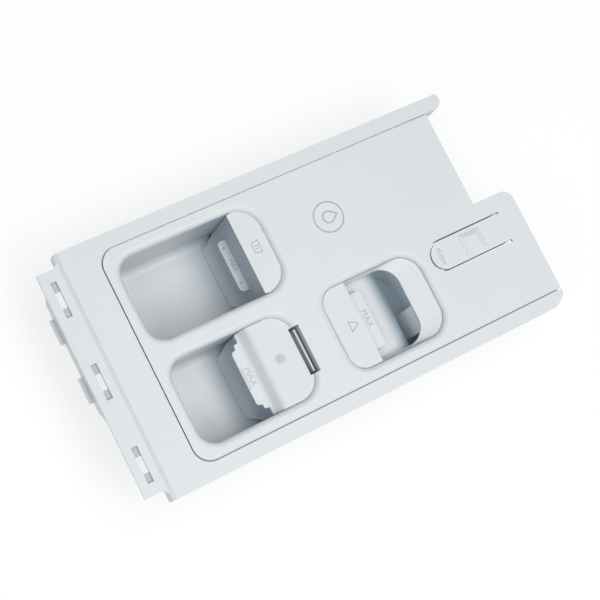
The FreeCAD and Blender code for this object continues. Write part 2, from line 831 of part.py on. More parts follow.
def add_gate(body, well, front, top, depth):
    """The front wall of a cap: a scoop that runs out on the floor, with flow gaps at its lower corners."""
    c = dim.gate_side_gap
    over = dim.cut_over
    foot = dim.gate_foot_gap - depth
    rear = front + dim.plate
    tip = front - dim.gate_sweep - dim.root_depth
    scoop = side(body, "gate_profile", well.left + c)
    outline(scoop, [
        (tip, foot),
        (rear, foot, dim.gate_sweep + dim.plate),
        (rear, top),
        (front, top),
        (front, foot + dim.gate_edge, dim.gate_sweep),
        (tip, foot + dim.gate_edge),
    ])
    pad_up(body, scoop, well.right - well.left - c * 2)

    corner = dim.floor_round * 1.5
    trim = new_sketch(body, "gate_trim", "XZ_Plane", -rear)
    rectangle(trim, well.left - over, well.right + over, foot - over, over)
    rectangle(trim, well.left + c, well.right - c, foot, ZERO, corner)
    pocket_up(body, trim, rear - tip + over)


def build_detergent_cap():
    body = new_body("detergent_cap")
    front = detergent.rear - dim.shelf_length
    cap_plate(body, "shelf_plan", detergent, front, None, shelf_top, dim.plate)
    add_gate(body, detergent, front, shelf_bottom + dim.root_depth, dim.well_depth)
    tip = front - dim.level_reach
    level = plan(body, "level_plan", -dim.level_depth)
    outline(level, [
        (detergent.left + dim.level_margin, tip, dim.level_corner),
        (detergent.right - dim.level_margin, tip, dim.level_corner),
        (detergent.right - dim.level_margin, front + dim.root_depth),
        (detergent.left + dim.level_margin, front + dim.root_depth),
    ])
    pad_down(body, level, dim.plate)
    add_bell(body, detergent.centre, bell_y(detergent), shelf_bottom + dim.root_depth)
    return body


def build_softener_cap():
    body = new_body("softener_cap")
    c = dim.cap_clearance
    left = softener.left + c
    right = softener.right - c
    slope_front = plateau_front - dim.slope_run
    tongue_top = shelf_top - dim.tongue_drop
    tip = slope_front - dim.tongue_length
    profile = side(body, "tongue_profile", left)
    outline(profile, [
        (tip, tongue_top - dim.plate),
        (slope_front + dim.plate / 2, tongue_top - dim.plate),
        (plateau_front + dim.plate / 2, shelf_bottom),
        (softener.rear - c, shelf_bottom),
        (softener.rear - c, shelf_top),
        (plateau_front, shelf_top, dim.notch_round),
        (slope_front, tongue_top, dim.notch_round),
        (tip, tongue_top),
    ])
    pad_up(body, profile, right - left)

    # notches at both ends of the tongue, rounded rear corners and the notch over the clip
    half = dim.tongue_width / 2
    over = dim.cut_over
    trim = plan(body, "cap_trim_plan", over)
    rear_round = dim.foot_corner_rear - c
    notch_rear = slope_front - dim.tongue_corner / 2
    half_clip = dim.clip_slot_length / 2
    outline(trim, [
        (left - over, tip - over),
        (right + over, tip - over),
        (right + over, softener.rear + over),
        (left - over, softener.rear + over),
    ])
    middle = softener.centre
    flare = dim.tongue_flare
    nick = dim.tongue_flare * 0.35
    outline(trim, [
        (middle - half, tip, dim.tongue_corner),
        (middle + half, tip, dim.tongue_corner),
        (middle + half, tip + flare, nick),
        (middle + half + flare, tip + flare, nick),
        (middle + half + flare, notch_rear, nick),
        (right, notch_rear, nick),
        (right, softener.rear - c, rear_round),
        (left, softener.rear - c, rear_round),
        (left, notch_rear, nick),
        (middle - half - flare, notch_rear, nick),
        (middle - half - flare, tip + flare, nick),
        (middle - half, tip + flare, nick),
    ])
    pocket_down(body, trim, over - tongue_top + dim.plate * 2)
    clip_notch = plan(body, "clip_notch_plan", shelf_top)
    rectangle(clip_notch, middle - half_clip, middle + half_clip, plateau_rear, softener.rear)
    pocket_down(body, clip_notch, dim.plate)
    add_gate(body, softener, slope_front, tongue_top - dim.plate + dim.root_depth, dim.softener_depth)
    add_bell(body, softener.centre, bell_y(softener), shelf_bottom + dim.root_depth)

    # spring clip in the slot
    clip = side(body, "clip_profile", softener.centre - half_clip + dim.clip_gap)
    leg = dim.clip_thickness
    front = plateau_rear - leg
    rear = slot_rear - dim.clip_gap
    foot = shelf_bottom - dim.clip_depth
    outline(clip, [
        (front, shelf_bottom + dim.root_depth),
        (front, foot, leg),
        (rear, foot, leg),
        (rear, shelf_top - dim.clip_top_drop),
        (rear - leg, shelf_top - dim.clip_top_drop),
        (rear - leg, foot + leg, leg / 2),
        (front + leg, foot + leg, leg / 2),
        (front + leg, shelf_bottom + dim.root_depth),
    ])
    pad_up(body, clip, dim.clip_slot_length - dim.clip_gap * 2)
    return body


def build_bleach_cap():
    body = new_body("bleach_cap")
    c = dim.cap_clearance
    edge = bleach_recess - dim.shelf_drop
    cap_plate(body, "cover_plan", bleach, bleach.front + c, dim.foot_corner_front - c, shelf_top, edge)

    # dish that slopes from the rim to the mouth, then the mouth itself
    label_rear = bleach.front + dim.label_length
    mouth_rear = bleach.rear - dim.dish_length
    lip = dim.dish_lip
    rim = plan(body, "dish_rim", shelf_top)
    rim_round = dim.foot_corner_rear - c
    rectangle(rim, bleach.left + c, bleach.right - c, label_rear, bleach.rear - c, None, rim_round)
    mouth = plan(body, "dish_mouth", shelf_top - dim.dish_drop)
    rectangle(mouth, bleach.left + lip, bleach.right - lip, label_rear, mouth_rear, None, dim.dish_corner)
    dish = body.newObject("PartDesign::SubtractiveLoft", "dish")
    dish.Profile = rim
    dish.Sections = [mouth]
    dish.Ruled = True
    doc.recompute()
    opening = plan(body, "mouth_plan", shelf_top)
    rectangle(opening, bleach.left + lip, bleach.right - lip, label_rear, mouth_rear, None, dim.dish_corner)
    pocket_down(body, opening, shelf_top - dish_bottom + dim.plate)

    # level tongue under the label shelf
    half = dim.bleach_tongue_width / 2
    tongue = plan(body, "level_plan", dish_bottom + dim.plate)
    rectangle(tongue, bleach.centre - half, bleach.centre + half, label_rear - dim.cut_over,
              label_rear + dim.bleach_tongue_length, None, dim.tongue_corner)
    pad_down(body, tongue, dim.plate)

    add_bell(body, bleach_bell_x, bell_y(bleach), dish_bottom + dim.root_depth)
    return body


sub_parts = [
    build_frame(),
    build_tray(),
    build_latch(),
    build_detergent_cap(),
    build_softener_cap(),
    build_bleach_cap(),
]
doc.recompute()

# Checks before anything is written

for obj in doc.Objects:
    if "Invalid" in obj.State or "Error" in obj.State:
        raise RuntimeError("%s failed: %s" % (obj.Name, obj.State))
for body in sub_parts:
    if body.Shape.isNull() or not body.Shape.isValid() or len(body.Shape.Solids) != 1:
        raise RuntimeError("%s is not one valid solid" % body.Label)

os.makedirs("parts", exist_ok=True)
for body in sub_parts:
    body.Shape.exportStep(os.path.join("parts", body.Label + ".step"))
    box = body.Shape.BoundBox
    print("%-14s %9.1f mm3  x %7.2f %7.2f  y %7.2f %7.2f  z %6.2f %6.2f" % (
        body.Label, body.Shape.Volume, box.XMin, box.XMax, box.YMin, box.YMax, box.ZMin, box.ZMax))
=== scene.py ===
import math

import bmesh
import bpy
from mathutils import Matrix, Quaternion, Vector


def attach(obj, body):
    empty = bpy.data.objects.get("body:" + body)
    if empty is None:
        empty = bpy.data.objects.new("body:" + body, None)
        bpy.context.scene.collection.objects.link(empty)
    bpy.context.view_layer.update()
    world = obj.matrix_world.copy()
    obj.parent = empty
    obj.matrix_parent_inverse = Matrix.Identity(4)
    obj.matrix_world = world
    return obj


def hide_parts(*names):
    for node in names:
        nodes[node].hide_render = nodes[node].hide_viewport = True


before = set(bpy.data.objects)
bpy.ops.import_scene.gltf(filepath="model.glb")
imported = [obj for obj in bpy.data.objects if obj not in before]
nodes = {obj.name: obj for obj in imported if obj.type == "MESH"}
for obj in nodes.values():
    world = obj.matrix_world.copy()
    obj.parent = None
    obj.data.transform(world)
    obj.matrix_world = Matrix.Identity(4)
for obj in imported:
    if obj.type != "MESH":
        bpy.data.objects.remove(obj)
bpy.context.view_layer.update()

MM = 0.001
DECK = 52 * MM               # top of the deck above the floor
FRONT_SEAM = -119.575 * MM   # front seam of the tray, in the row frame
LEFT_SEAM = -74 * MM         # left seam of the tray
ACROSS = 0                   # axes of the row frame
ALONG = 1
UP = 2


def spot(x, y):
    """A place on the tray, in millimetres from its left and front seams, as row coordinates."""
    return LEFT_SEAM + x * MM, FRONT_SEAM + y * MM


def add_object(name, data):
    """Puts a mesh, a light or a camera into the scene."""
    thing = bpy.data.objects.new(name, data)
    bpy.context.scene.collection.objects.link(thing)
    return thing


# Shader nodes

FULL = (0.0, 1.0)
WHITE = (1, 1, 1, 1)


def set_inputs(node, **values):
    """Sets sockets by name, with underscores for spaces."""
    for name, value in values.items():
        node.inputs[name.replace("_", " ")].default_value = value


def noise(tree, coords, scale, detail, roughness=0.5):
    """A cloudy pattern with about as many waves in a metre as the scale says."""
    node = tree.nodes.new("ShaderNodeTexNoise")
    set_inputs(node, Scale=scale, Detail=detail, Roughness=roughness)
    tree.links.new(coords, node.inputs["Vector"])
    return node.outputs["Fac"]


def remap(tree, value, source, result=FULL, ease="LINEAR"):
    """Carries a value from one range to another."""
    node = tree.nodes.new("ShaderNodeMapRange")
    node.interpolation_type = ease
    set_inputs(node, From_Min=source[0], From_Max=source[1], To_Min=result[0], To_Max=result[1])
    tree.links.new(value, node.inputs["Value"])
    return node.outputs["Result"]


def combine(tree, operation, first, second):
    """Joins two values, such as by MULTIPLY or MAXIMUM."""
    node = tree.nodes.new("ShaderNodeMath")
    node.operation = operation
    tree.links.new(first, node.inputs[0])
    tree.links.new(second, node.inputs[1])
    return node.outputs["Value"]


def mix_colours(tree, factor, first, second):
    """Mixes two colours; the first may be a socket."""
    node = tree.nodes.new("ShaderNodeMix")
    node.data_type = "RGBA"
    tree.links.new(factor, node.inputs["Factor"])
    if isinstance(first, tuple):
        node.inputs["A"].default_value = first
    else:
        tree.links.new(first, node.inputs["A"])
    node.inputs["B"].default_value = second
    return node.outputs["Result"]


def show_mix(tree, factor, first, second, output):
    """Sends a mix of two shaders to the output node of a tree."""
    mix = tree.nodes.new("ShaderNodeMixShader")
    tree.links.new(factor, mix.inputs["Fac"])
    tree.links.new(first, mix.inputs[1])
    tree.links.new(second, mix.inputs[2])
    tree.links.new(mix.outputs["Shader"], tree.nodes[output].inputs["Surface"])


def white_rays(tree):
    """1 for the rays that see plain white: from the camera, in gloss and through clear material."""
    rays = tree.nodes.new("ShaderNodeLightPath")
    value = rays.outputs["Is Camera Ray"]
    for other in ("Is Glossy Ray", "Is Transmission Ray"):
        value = combine(tree, "MAXIMUM", value, rays.outputs[other])
    return value


def new_material(name):
    """A material with its node tree, its shader and the coordinates of the object."""
    material = bpy.data.materials.new(name)
    material.use_nodes = True
    tree = material.node_tree
    coords = tree.nodes.new("ShaderNodeTexCoord").outputs["Object"]
    return material, tree, tree.nodes["Principled BSDF"], coords


# Moulded plastic

EDGE_RADIUS = 0.3 * MM
EDGE_SAMPLES = 6
EDGE_TURN = (0.98, 0.8)         # agreement of the normals, from flat to a full edge
# Painted shade in recesses: an occlusion mask darkens the plastic toward a blue-grey where less light
# reaches.
CREVICE_REACH = 12 * MM
CREVICE_SAMPLES = 8
CREVICE_OPENING = (0.75, 0.15)  # share of open surroundings, from unshaded to the deepest shade
CREVICE_SHADE_SHARE = (0.0, 0.3)
# Blue-grey tone of the painted shade in recesses and along the wells.
PAINTED_SHADE_TONE = (0.225, 0.3, 0.365, 1)
CLOUDS = {"scale": 16, "detail": 3}
CLOUD_RANGE = (0.35, 0.65)
RUBBING = {"scale": 240, "detail": 4}
RUBBING_RANGE = (0.4, 0.7)
RUBBING_SHARE = (0.0, 0.8)
SHEEN = {"scale": 90, "detail": 5, "roughness": 0.6}
SHEEN_RANGE = (0.3, 0.7)
SHEEN_SMOOTHER = 0.05
SHEEN_ROUGHER = 0.06
GRAIN = {"scale": 2600, "detail": 2, "roughness": 0.6}
GRAIN_STRENGTH = 0.12
GRAIN_HEIGHT = 0.02 * MM
PLASTIC_IOR = 1.49


def edge_mask(tree):
    """Rises to 1 where the surface turns within the edge radius."""
    bevel = tree.nodes.new("ShaderNodeBevel")
    bevel.samples = EDGE_SAMPLES
    set_inputs(bevel, Radius=EDGE_RADIUS)
    geometry = tree.nodes.new("ShaderNodeNewGeometry")
    agreement = tree.nodes.new("ShaderNodeVectorMath")
    agreement.operation = "DOT_PRODUCT"
    tree.links.new(bevel.outputs["Normal"], agreement.inputs[0])
    tree.links.new(geometry.outputs["Normal"], agreement.inputs[1])
    return remap(tree, agreement.outputs["Value"], EDGE_TURN)


def crevice_shade_mask(tree):
    """Rises deep in recesses: painted shade, darker where less light reaches."""
    occlusion = tree.nodes.new("ShaderNodeAmbientOcclusion")
    occlusion.samples = CREVICE_SAMPLES
    set_inputs(occlusion, Distance=CREVICE_REACH)
    return remap(tree, occlusion.outputs["AO"], CREVICE_OPENING, CREVICE_SHADE_SHARE)


def shade_ramp_mask(tree, coords, start, end, most):
    """Rises between two places along the drawer: painted shade that deepens toward the rear of a well."""
    split = tree.nodes.new("ShaderNodeSeparateXYZ")
    tree.links.new(coords, split.inputs["Vector"])
    stretch = (FRONT_SEAM + start * MM, FRONT_SEAM + end * MM)
    return remap(tree, split.outputs["Y"], stretch, (0.0, most), "SMOOTHSTEP")


def moulded_plastic(name, tones, roughness, crevice_shade=True, shade_ramp=None):
    """Satin plastic: faint flow clouds, fine grain, polished edges and, where asked, painted shade in
    recesses and along the wells.
    """
    material, tree, shader, coords = new_material(name)
    light, dark, worn = tones
    clouds = remap(tree, noise(tree, coords, **CLOUDS), CLOUD_RANGE)
    colour = mix_colours(tree, clouds, light, dark)
    rubbing = remap(tree, noise(tree, coords, **RUBBING), RUBBING_RANGE, RUBBING_SHARE)
    colour = mix_colours(tree, combine(tree, "MULTIPLY", edge_mask(tree), rubbing), colour, worn)
    # Painted shade: recesses darken toward a blue-grey.
    if crevice_shade:
        colour = mix_colours(tree, crevice_shade_mask(tree), colour, PAINTED_SHADE_TONE)
    # Painted shade ramp: darker toward the rear of a well.
    if shade_ramp:
        colour = mix_colours(tree, shade_ramp_mask(tree, coords, *shade_ramp), colour, PAINTED_SHADE_TONE)
    tree.links.new(colour, shader.inputs["Base Color"])
    sheen = (roughness - SHEEN_SMOOTHER, roughness + SHEEN_ROUGHER)
    tree.links.new(remap(tree, noise(tree, coords, **SHEEN), SHEEN_RANGE, sheen), shader.inputs["Roughness"])
    grain = tree.nodes.new("ShaderNodeBump")
    set_inputs(grain, Strength=GRAIN_STRENGTH, Distance=GRAIN_HEIGHT)
    tree.links.new(noise(tree, coords, **GRAIN), grain.inputs["Height"])
    tree.links.new(grain.outputs["Normal"], shader.inputs["Normal"])
    set_inputs(shader, IOR=PLASTIC_IOR)
    return material


# Tones of the plastics: the light and the dark of the flow clouds, and rubbed edges
RUBBED = (0.7, 0.72, 0.735, 1)
TRAY_TONES = ((0.617, 0.641, 0.656, 1), (0.604, 0.63, 0.648, 1), RUBBED)
FRAME_TONES = ((0.614, 0.638, 0.653, 1), (0.6, 0.626, 0.644, 1), RUBBED)
CAP_TONES = ((0.612, 0.636, 0.651, 1), (0.6, 0.626, 0.643, 1), RUBBED)
# Painted shade: a darker copy of the tray plastic for the brow of the bleach well.
BROW_SHADE_TONES = ((0.6, 0.626, 0.643, 1), (0.588, 0.616, 0.636, 1), RUBBED)
# Painted shade: a darker copy of the plastic for the recessed level faces at the front of the frame.
RECESS_SHADE_TONES = ((0.47, 0.495, 0.512, 1), (0.45, 0.476, 0.496, 1), (0.54, 0.56, 0.575, 1))
# Painted light: a lighter, blue-tinted copy of the plastic that lifts the shaded bleach sump.
CHAMBER_LIGHT_TONES = ((0.86, 0.93, 0.97, 1), (0.84, 0.91, 0.96, 1), (0.88, 0.93, 0.96, 1))
# Painted light: a light grey for the walls inside seams and gaps, which lifts their shade.
SEAM_LIGHT_TONES = ((0.85, 0.85, 0.85, 1), (0.84, 0.84, 0.84, 1), (0.86, 0.86, 0.86, 1))

# Painted shade ramps toward the rear of the wells: start and end of the rise, in millimetres from the front
# seam, and the share at the end
DETERGENT_SHADE_RAMP = (50, 86, 0.6)
SOFTENER_SHADE_RAMP = (30, 60, 0.6)
BROW_SHADE_RAMP = (156.5, 170.5, 0.88)

# Roughness
TRAY_SATIN = 0.42
FRAME_SATIN = 0.44
CAP_SATIN = 0.46
DULL = 0.5

# The tray, frame and cap plastics carry the painted shade in recesses.
TRAY = moulded_plastic("tray_plastic", TRAY_TONES, TRAY_SATIN)
FRAME = moulded_plastic("frame_plastic", FRAME_TONES, FRAME_SATIN)
CAP = moulded_plastic("cap_plastic", CAP_TONES, CAP_SATIN)
# Painted shade for the recesses at the front of the frame.
RECESS_SHADE = moulded_plastic("recess_painted_shade", RECESS_SHADE_TONES, DULL)
# Painted shade on the bleach brow, deepening toward the sump.
BROW_SHADE = moulded_plastic("brow_painted_shade", BROW_SHADE_TONES, DULL, crevice_shade=False, shade_ramp=BROW_SHADE_RAMP)
# Painted light for the bleach sump and the bell.
CHAMBER_LIGHT = moulded_plastic("chamber_painted_light", CHAMBER_LIGHT_TONES, DULL, crevice_shade=False)
# Painted light for the walls inside seams and gaps.
SEAM_LIGHT = moulded_plastic("seam_painted_light", SEAM_LIGHT_TONES, DULL, crevice_shade=False)
# Tray plastic with a painted shade ramp toward the rear of the detergent and softener wells.
DETERGENT_WELL_SHADED = moulded_plastic("detergent_well_shaded_plastic", TRAY_TONES, TRAY_SATIN, shade_ramp=DETERGENT_SHADE_RAMP)
SOFTENER_WELL_SHADED = moulded_plastic("softener_well_shaded_plastic", TRAY_TONES, TRAY_SATIN, shade_ramp=SOFTENER_SHADE_RAMP)

NODE_MATERIALS = {
    "drawer_frame": FRAME,
    "inner_tray": TRAY,
    "push_latch": TRAY,
    "detergent_cap": CAP,
    "softener_cap": CAP,
    "bleach_cap": CAP,
}
for node_name, plastic in NODE_MATERIALS.items():
    nodes[node_name].data.materials.clear()
    nodes[node_name].data.materials.append(plastic)


# The tray's shell under the brow of the bleach well

BROW_AXIS_Y = FRONT_SEAM + 153.05 * MM  # axis of the brow's curve
BROW_AXIS_Z = DECK - 30.5 * MM
BROW_OUTER = 18 * MM                    # the brow's radius less the wall
BROW_STEPS = 24
BLEACH_FRONT = FRONT_SEAM + 105 * MM    # in front of the bleach well
NEAR = 0.02 * MM
FLAT = math.radians(0.1)


def faces_on(shell, axis, level, low, high):
    """The faces on a plane across an axis. Their middles lie between two corners, in length and height."""
    found = []
    for face in shell.faces:
        middle = face.calc_center_median()
        flat = all(abs(vertex.co[axis] - level) < NEAR for vertex in face.verts)
        in_length = low[0] - NEAR < middle.y < high[0] + NEAR
        in_height = low[1] - NEAR < middle.z < high[1] + NEAR
        if flat and in_length and in_height:
            found.append(face)
    return found


def edges_of(faces):
    return list(dict.fromkeys(edge for face in faces for edge in face.edges))


def corners_of(faces):
    return list(dict.fromkeys(vertex for face in faces for vertex in face.verts))


def trim_plane(shell, along, limit, *plane):
    """Drops what lies past a limit along another axis from the faces on a plane. Returns their ends in x."""
    faces = faces_on(shell, *plane)
    across = [vertex.co.x for vertex in corners_of(faces)]
    normal = Vector((0, 0, 0))
    normal[along] = 1
    parts = faces + edges_of(faces) + corners_of(faces)
    bmesh.ops.bisect_plane(shell, geom=parts, plane_co=normal * limit, plane_no=normal)
    past = [face for face in faces_on(shell, *plane) if face.calc_center_median()[along] > limit]
    bmesh.ops.delete(shell, geom=past, context="FACES")
    kept = faces_on(shell, *plane)
    bmesh.ops.dissolve_limit(shell, angle_limit=FLAT, verts=corners_of(kept), edges=edges_of(kept))
    return min(across), max(across)


def add_corner(shell, point):
    """Splits the edges that run past a point, so that the faces there share a corner."""
    for edge in list(shell.edges):
        start, end = (vertex.co for vertex in edge.verts)
        length = (end - start).length
        share = (point - start).dot(end - start) / length ** 2 if length else 0
        on_line = (start.lerp(end, share) - point).length < NEAR
        if on_line and NEAR < share * length < length - NEAR:
            bmesh.utils.edge_split(edge, edge.verts[0], share)


def curved_wall(shell, x0, x1):
    """The outside of the wall under the brow, with its two flat ends."""
    arc = []
    for i in range(BROW_STEPS + 1):
        angle = math.pi / 2 * i / BROW_STEPS
        arc.append((BROW_AXIS_Y + BROW_OUTER * math.sin(angle), BROW_AXIS_Z + BROW_OUTER * math.cos(angle)))
    left, right = ([shell.verts.new((x, y, z)) for y, z in arc] for x in (x0, x1))
    for i in range(BROW_STEPS):
        shell.faces.new((left[i + 1], right[i + 1], right[i], left[i])).smooth = True
    corner = (BROW_AXIS_Y + BROW_OUTER, BROW_AXIS_Z + BROW_OUTER)
    for x, turn in ((x0, -1), (x1, 1)):
        end = [shell.verts.new((x, *point)) for point in arc + [corner]]
        shell.faces.new(end[::turn])
        add_corner(shell, Vector((x, BROW_AXIS_Y, corner[1])))
        add_corner(shell, Vector((x, corner[0], BROW_AXIS_Z)))


def follow_brow(shell):
    """Turns the square corner under the brow into a curved wall. A tray without it stays as it is."""
    under = BROW_AXIS_Z + BROW_OUTER
    front = BROW_AXIS_Y + BROW_OUTER
    floor = (UP, under, (BLEACH_FRONT, under), (front, under))
    wall = (ALONG, front, (front, 0), (front, under))
    if faces_on(shell, *floor) and faces_on(shell, *wall):
        x0, x1 = trim_plane(shell, ALONG, BROW_AXIS_Y, *floor)
        trim_plane(shell, UP, BROW_AXIS_Z, *wall)
        curved_wall(shell, x0, x1)


def add_tray_shell():
    """The tray with a wall that follows the brow, in place of the node, whose brow cuts through its wall."""
    mesh = nodes["inner_tray"].data.copy()
    mesh.name = "tray_shell"
    shell = bmesh.new()
    shell.from_mesh(mesh)
    follow_brow(shell)
    shell.to_mesh(mesh)
    shell.free()
    piece = add_object("tray_shell", mesh)
    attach(piece, "drawer")
    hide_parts("inner_tray")
    return piece


# Painted light and shade on single places

# Ranges of the height of a face's normal
ANY_TILT = (-2, 2)
UPRIGHT = (-0.1, 0.1)
UPRIGHT_OR_UP = (-0.1, 2)
RISING = (0.02, 2)
LEVEL = (0.9, 2)
NOT_LEVEL = (-2, 0.97)

# Zones: ranges across, along and in height, in millimetres from the left seam, the front seam and the deck
LEFT_WELL = (5, 74)
RIGHT_WELLS = (78, 142)
BOTTOM = -60
CAP_EDGE = (-7, -3.02)
FRONT_STEP = ((-20, 170), (-39, -26), (-3.8, -2.5))
LEFT_GAP = ((-1, 1), (2, 245), (BOTTOM, -0.2))
DETERGENT_GAP = (LEFT_WELL, (90, 112), CAP_EDGE)
SOFTENER_GAP = (RIGHT_WELLS, (66, 95), CAP_EDGE)
BLEACH_GAP = (RIGHT_WELLS, (118, 140), CAP_EDGE)
DETERGENT_INSIDE = (LEFT_WELL, (8, 92), (BOTTOM, -2.5))
SOFTENER_INSIDE = (RIGHT_WELLS, (8, 66), (BOTTOM, -2.5))
BLEACH_SUMP = (RIGHT_WELLS, (171, 194), (BOTTOM, -8))
BLEACH_BROW = (RIGHT_WELLS, (140, 173.2), (-31, -10))
BLEACH_BELL = (RIGHT_WELLS, (171, 194), (BOTTOM, -9))
DETERGENT_GATE = (LEFT_WELL, (60, 95), (BOTTOM, -3.5))
DETERGENT_FOOT = (LEFT_WELL, (60, 95), (BOTTOM, -30))
SOFTENER_GATE = (RIGHT_WELLS, (30, 64), (BOTTOM, -12))
SOFTENER_FOOT = (RIGHT_WELLS, (30, 64), (BOTTOM, -20))


def paint_light_and_shade_on_faces(piece, material, tilt, zone):
    """Gives a material to the faces of a piece that lie in a zone and have normals within a tilt."""
    mesh = piece.data
    if material.name not in mesh.materials:
        mesh.materials.append(material)
    slot = mesh.materials.find(material.name)
    lowest, highest = (Vector((*spot(x, y), DECK + z * MM)) for x, y, z in zip(*zone))
    for face in mesh.polygons:
        inside = all(lowest[axis] < face.center[axis] < highest[axis] for axis in (ACROSS, ALONG, UP))
        if inside and tilt[0] < face.normal.z < tilt[1]:
            face.material_index = slot


tray = add_tray_shell()
carrier = nodes["drawer_frame"]
detergent_cap = nodes["detergent_cap"]
softener_cap = nodes["softener_cap"]
bleach_cap = nodes["bleach_cap"]
# Painted shade on the recessed level faces at the front of the frame.
paint_light_and_shade_on_faces(carrier, RECESS_SHADE, LEVEL, FRONT_STEP)
# Painted light on the walls and ledges of the seams and of the gaps around the caps.
paint_light_and_shade_on_faces(carrier, SEAM_LIGHT, UPRIGHT_OR_UP, LEFT_GAP)
paint_light_and_shade_on_faces(tray, SEAM_LIGHT, UPRIGHT, LEFT_GAP)
for cap, gap in ((detergent_cap, DETERGENT_GAP), (softener_cap, SOFTENER_GAP), (bleach_cap, BLEACH_GAP)):
    paint_light_and_shade_on_faces(tray, SEAM_LIGHT, UPRIGHT_OR_UP, gap)
    paint_light_and_shade_on_faces(cap, SEAM_LIGHT, UPRIGHT, gap)
# Painted shade ramps on the well insides and on the gates of their caps.
paint_light_and_shade_on_faces(tray, DETERGENT_WELL_SHADED, ANY_TILT, DETERGENT_INSIDE)
paint_light_and_shade_on_faces(tray, SOFTENER_WELL_SHADED, ANY_TILT, SOFTENER_INSIDE)
# Painted light on the walls and floor of the bleach sump and on the bell.
paint_light_and_shade_on_faces(tray, CHAMBER_LIGHT, UPRIGHT_OR_UP, BLEACH_SUMP)
# Painted shade on the rising faces of the bleach brow.
paint_light_and_shade_on_faces(tray, BROW_SHADE, RISING, BLEACH_BROW)
paint_light_and_shade_on_faces(bleach_cap, CHAMBER_LIGHT, UPRIGHT_OR_UP, BLEACH_BELL)
paint_light_and_shade_on_faces(detergent_cap, DETERGENT_WELL_SHADED, NOT_LEVEL, DETERGENT_GATE)
paint_light_and_shade_on_faces(detergent_cap, DETERGENT_WELL_SHADED, ANY_TILT, DETERGENT_FOOT)
paint_light_and_shade_on_faces(softener_cap, SOFTENER_WELL_SHADED, NOT_LEVEL, SOFTENER_GATE)
paint_light_and_shade_on_faces(softener_cap, SOFTENER_WELL_SHADED, ANY_TILT, SOFTENER_FOOT)


# Ink and outlines of the printed marks

INK_TONE = (0.33, 0.355, 0.375, 1)
FADED_TONE = (0.45, 0.475, 0.495, 1)
FADING = {"scale": 900, "detail": 4, "roughness": 0.65}
FADING_RANGE = (0.45, 0.75)
INK_ROUGHNESS = (0.42, 0.6)
INK_LIFT = 0.015 * MM     # height of the ink above the plastic
CAPITAL_SHARE = 0.69      # height of a capital as a share of the font's size


def pad_print(name):
    """Thin grey ink with worn patches."""
    material, tree, shader, coords = new_material(name)
    patches = remap(tree, noise(tree, coords, **FADING), FADING_RANGE)
    tree.links.new(mix_colours(tree, patches, INK_TONE, FADED_TONE), shader.inputs["Base Color"])
    tree.links.new(remap(tree, patches, FULL, INK_ROUGHNESS), shader.inputs["Roughness"])
    return material


INK = pad_print("grey_ink")


def add_print(name, mesh, body="drawer"):
    """Makes an inked piece of a mesh."""
    mesh.materials.clear()
    mesh.materials.append(INK)
    piece = add_object(name, mesh)
    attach(piece, body)


def flat_piece(name, outlines, place, level):
    """Thin ink from flat outlines, in millimetres about a place on the tray, at a height above the floor."""
    verts = []
    faces = []
    x0, y0 = spot(*place)
    for outline in outlines:
        faces.append(list(range(len(verts), len(verts) + len(outline))))
        verts += [(x0 + x * MM, y0 + y * MM, level + INK_LIFT) for x, y in outline]
    mesh = bpy.data.meshes.new(name)
    mesh.from_pydata(verts, [], faces)
    add_print(name, mesh)


def printed_word(name, word, height, place, level, body="drawer"):
    """A generic word, such as the mark of a level or of a press point, centred on a place."""
    curve = bpy.data.curves.new(name, "FONT")
    curve.body = word
    curve.size = height * MM / CAPITAL_SHARE
    curve.align_x = "CENTER"
    curve.align_y = "CENTER"
    x, y = spot(*place)
    draft = bpy.data.objects.new(name + "_draft", curve)
    mesh = bpy.data.meshes.new_from_object(draft)
    bpy.data.objects.remove(draft)
    for vertex in mesh.vertices:
        vertex.co += Vector((x, y, level + INK_LIFT))
    add_print(name, mesh, body)


def bar(x0, x1, y0, y1):
    """A rectangle."""
    return [(x0, y0), (x1, y0), (x1, y1), (x0, y1)]


def arrow(middle, half):
    """A small filled triangle that points to the rear."""
    return [(middle - half, -half), (middle + half, -half), (middle, half)]


def ring(radius, width, steps):
    """A band along a circle as quads."""
    quads = []
    for i in range(steps):
        a = 2 * math.pi * i / steps
        b = 2 * math.pi * (i + 1) / steps
        corners = ((radius, a), (radius, b), (radius - width, b), (radius - width, a))
        quads.append([(r * math.cos(t), r * math.sin(t)) for r, t in corners])
    return quads


def shifted(outlines, dx, dy):
    """The same outlines in another place."""
    return [[(x + dx, y + dy) for x, y in outline] for outline in outlines]


def band(path, width):
    """A line of even width along a closed path, as quads that meet in mitres."""
    points = [Vector(point) for point in path]
    count = len(points)
    sides = [(points[(i + 1) % count] - points[i]).normalized() for i in range(count)]
    rails = []
    for i in range(count):
        mitre = (sides[i - 1].orthogonal() + sides[i].orthogonal()).normalized()
        rails.append(mitre * (width / 2 / mitre.dot(sides[i].orthogonal())))
    quads = []
    for i in range(count):
        j = (i + 1) % count
        corners = (points[i] - rails[i], points[j] - rails[j], points[j] + rails[j], points[i] + rails[i])
        quads.append([tuple(corner) for corner in corners])
    return quads


# Printed marks

# Heights of the printed faces
SHELF = DECK - 3 * MM
LEVEL_DETERGENT = DECK - 27 * MM
LEVEL_SOFTENER = DECK - 10 * MM
LEVEL_BLEACH = DECK - 6.5 * MM

# Places, in millimetres from the left and front seams
DETERGENT_MARK = (37.5, 86.6)
SOFTENER_MARK = (110.2, 57.6)
SOFTENER_LINE = (110.2, 54.3)
BLEACH_MARK = (109.0, 146.2)
PRESS_MARK = (93.5, 211.6)
DETERGENT_LABEL = (36.5, 98.4)
SOFTENER_LABEL = (108.5, 78.5)
BLEACH_LABEL = (109.5, 134.0)
DECK_LABEL = (38, 152)

